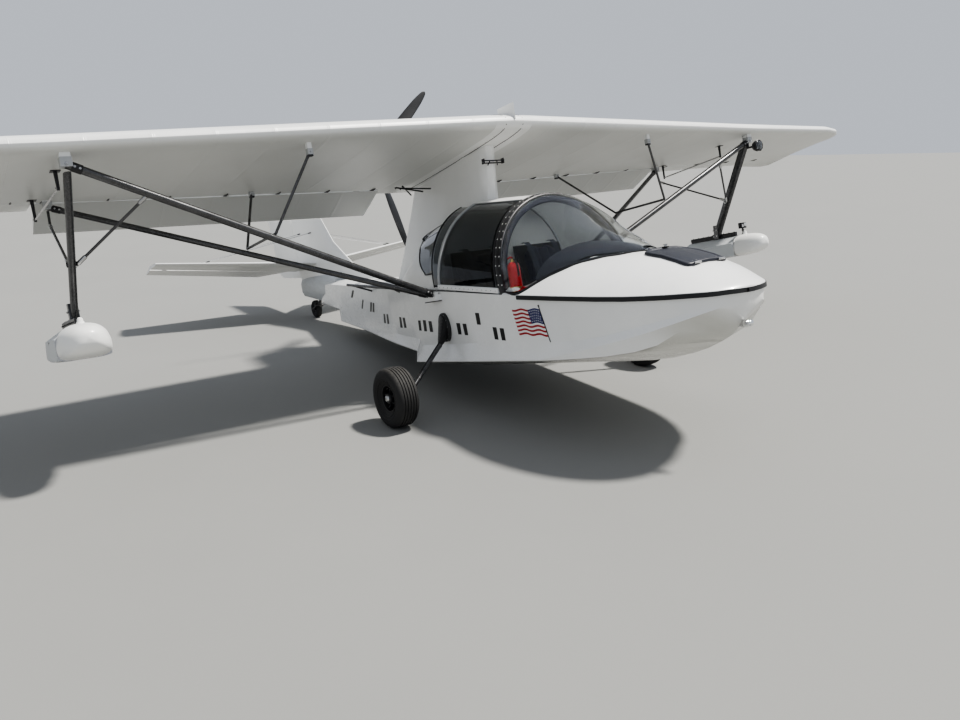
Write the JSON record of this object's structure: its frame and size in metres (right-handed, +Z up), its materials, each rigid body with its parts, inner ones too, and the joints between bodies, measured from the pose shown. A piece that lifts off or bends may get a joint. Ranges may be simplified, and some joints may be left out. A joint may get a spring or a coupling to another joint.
{
  "type": "flying boat",
  "caption": "Two-seat amphibious flying boat with a stepped hull, strut-braced high wing, wing-tip floats, sliding canopy, pusher propeller and wheeled landing gear.",
  "frame": {"origin": "on the ground under the middle of the bounding box, with the aircraft parked on its three wheels", "axes": "+X to port along the span, +Y aft towards the tail, +Z up; the airframe sits about 12 degrees nose up as parked"},
  "size_m": [9.396, 6.6454, 2.2361],
  "materials": {
    "white_gelcoat": "glossy white painted composite with soft sheen and light grime near the waterline",
    "white_fabric": "tight white painted aircraft fabric, satin",
    "black_trim": "satin black trim",
    "clear_glazing": "clear blown acrylic",
    "tinted_glazing": "grey tinted acrylic",
    "dark_steel": "bare and dark anodised tube, satin",
    "black_rubber": "matte ribbed rubber",
    "tyre_rubber": "grooved tyre rubber with dust",
    "cast_alloy": "cast alloy, satin",
    "cabin_vinyl": "dark cabin upholstery"
  },
  "bodies": {
    "airframe": {"hull": "white_gelcoat", "foredeck": "white_gelcoat", "canopy_roof": "white_gelcoat", "pylon": "white_gelcoat", "rear_fairing": "white_gelcoat", "wing_centre": "white_gelcoat", "fin": "white_gelcoat", "engine_cowl": "white_gelcoat", "float_left": "white_gelcoat", "float_right": "white_gelcoat", "tail_cone": "white_fabric", "wing_left": "white_fabric", "wing_right": "white_fabric", "stabilizer_left": "white_fabric", "stabilizer_right": "white_fabric", "rub_rail": "black_trim", "windscreen_arch": "black_trim", "instrument_panel": "black_trim", "windscreen": "clear_glazing", "slide_rail_left": "dark_steel", "slide_rail_right": "dark_steel", "lift_strut_front_left": "dark_steel", "lift_strut_front_right": "dark_steel", "lift_strut_rear_left": "dark_steel", "lift_strut_rear_right": "dark_steel", "jury_strut_left": "dark_steel", "jury_strut_right": "dark_steel", "float_strut_left": "dark_steel", "float_strut_right": "dark_steel", "gear_leg_left": "dark_steel", "gear_leg_right": "dark_steel", "tailwheel_arm": "dark_steel", "engine_mount": "dark_steel", "bow_ring": "dark_steel", "landing_light": "dark_steel", "gear_boot_left": "black_rubber", "gear_boot_right": "black_rubber", "engine": "cast_alloy", "cockpit_floor": "cabin_vinyl", "glareshield": "cabin_vinyl", "seat_left": "cabin_vinyl", "seat_right": "cabin_vinyl"},
    "wheel_left": {"main_tyre_left": "tyre_rubber", "main_rim_left": "black_trim"},
    "wheel_right": {"main_tyre_right": "tyre_rubber", "main_rim_right": "black_trim"},
    "propeller": {"propeller": "black_trim"},
    "tail_swivel": {"tailwheel_fork": "dark_steel"},
    "tail_roller": {"tail_wheel": "tyre_rubber"},
    "rudder": {"rudder": "white_gelcoat"},
    "elevator_port": {"elevator_left": "white_fabric"},
    "elevator_starboard": {"elevator_right": "white_fabric"},
    "aileron_port": {"aileron_left": "white_fabric"},
    "aileron_starboard": {"aileron_right": "white_fabric"},
    "flap_port": {"flap_left": "white_fabric"},
    "flap_starboard": {"flap_right": "white_fabric"},
    "hatch_port": {"canopy_hatch_left": "tinted_glazing"},
    "hatch_starboard": {"canopy_hatch_right": "tinted_glazing"},
    "bow_lid": {"bow_hatch": "black_trim"}
  },
  "joints": [
    {"name": "main_wheel_left_spin", "type": "hinge", "parent": "airframe", "child": "wheel_left", "pos_m": [1.11, -1.53445, 0.19188], "axis": [1, 0, 0], "continuous": true},
    {"name": "main_wheel_right_spin", "type": "hinge", "parent": "airframe", "child": "wheel_right", "pos_m": [-1.11, -1.53445, 0.19188], "axis": [1, 0, 0], "continuous": true},
    {"name": "propeller_spin", "type": "hinge", "parent": "airframe", "child": "propeller", "pos_m": [0, 0.62425, 1.63523], "axis": [0, 0.9779, -0.2092], "continuous": true},
    {"name": "tailwheel_steer", "type": "hinge", "parent": "airframe", "child": "tail_swivel", "pos_m": [0, 2.052, 0.1589], "axis": [0, 0, 1], "range_deg": [-35, 35]},
    {"name": "tail_wheel_spin", "type": "hinge", "parent": "tail_swivel", "child": "tail_roller", "pos_m": [0, 2.15015, 0.09188], "axis": [1, 0, 0], "continuous": true},
    {"name": "rudder_hinge", "type": "hinge", "parent": "airframe", "child": "rudder", "pos_m": [0, 2.42879, 0.3953], "axis": [0, 0.2817, 0.9595], "range_deg": [-25, 25]},
    {"name": "elevator_left_hinge", "type": "hinge", "parent": "airframe", "child": "elevator_port", "pos_m": [0.09, 2.47967, 0.48975], "axis": [0.99, 0.0902, 0.1085], "range_deg": [-12, 33]},
    {"name": "elevator_right_hinge", "type": "hinge", "parent": "airframe", "child": "elevator_starboard", "pos_m": [-0.09, 2.47967, 0.48975], "axis": [0.99, -0.0902, -0.1085], "range_deg": [-12, 33]},
    {"name": "aileron_left_hinge", "type": "hinge", "parent": "airframe", "child": "aileron_port", "pos_m": [2.781, -0.05792, 1.45802], "axis": [0.9999, 0.0026, 0.0123], "range_deg": [-20, 20]},
    {"name": "aileron_right_hinge", "type": "hinge", "parent": "airframe", "child": "aileron_starboard", "pos_m": [-2.781, -0.05792, 1.45802], "axis": [0.9999, -0.0026, -0.0123], "range_deg": [-20, 20]},
    {"name": "flap_left_hinge", "type": "hinge", "parent": "airframe", "child": "flap_port", "pos_m": [0.358, -0.0688, 1.40717], "axis": [0.9998, 0.0044, 0.0207], "range_deg": [-10, 22]},
    {"name": "flap_right_hinge", "type": "hinge", "parent": "airframe", "child": "flap_starboard", "pos_m": [-0.358, -0.0688, 1.40717], "axis": [0.9998, -0.0044, -0.0207], "range_deg": [-10, 22]},
    {"name": "hatch_left_slide", "type": "slide", "parent": "airframe", "child": "hatch_port", "axis": [0, 0.9967, -0.0814], "range_m": [0, 0.5]},
    {"name": "hatch_right_slide", "type": "slide", "parent": "airframe", "child": "hatch_starboard", "axis": [0, 0.9967, -0.0814], "range_m": [0, 0.5]},
    {"name": "bow_lid_hinge", "type": "hinge", "parent": "airframe", "child": "bow_lid", "pos_m": [0, -3.04839, 1.0741], "axis": [1, 0, 0], "range_deg": [0, 100]}
  ],
  "couplings": [
    {"joint": "elevator_right_hinge", "follows": "elevator_left_hinge", "ratio": 1},
    {"joint": "aileron_right_hinge", "follows": "aileron_left_hinge", "ratio": -1},
    {"joint": "flap_right_hinge", "follows": "flap_left_hinge", "ratio": 1}
  ]
}
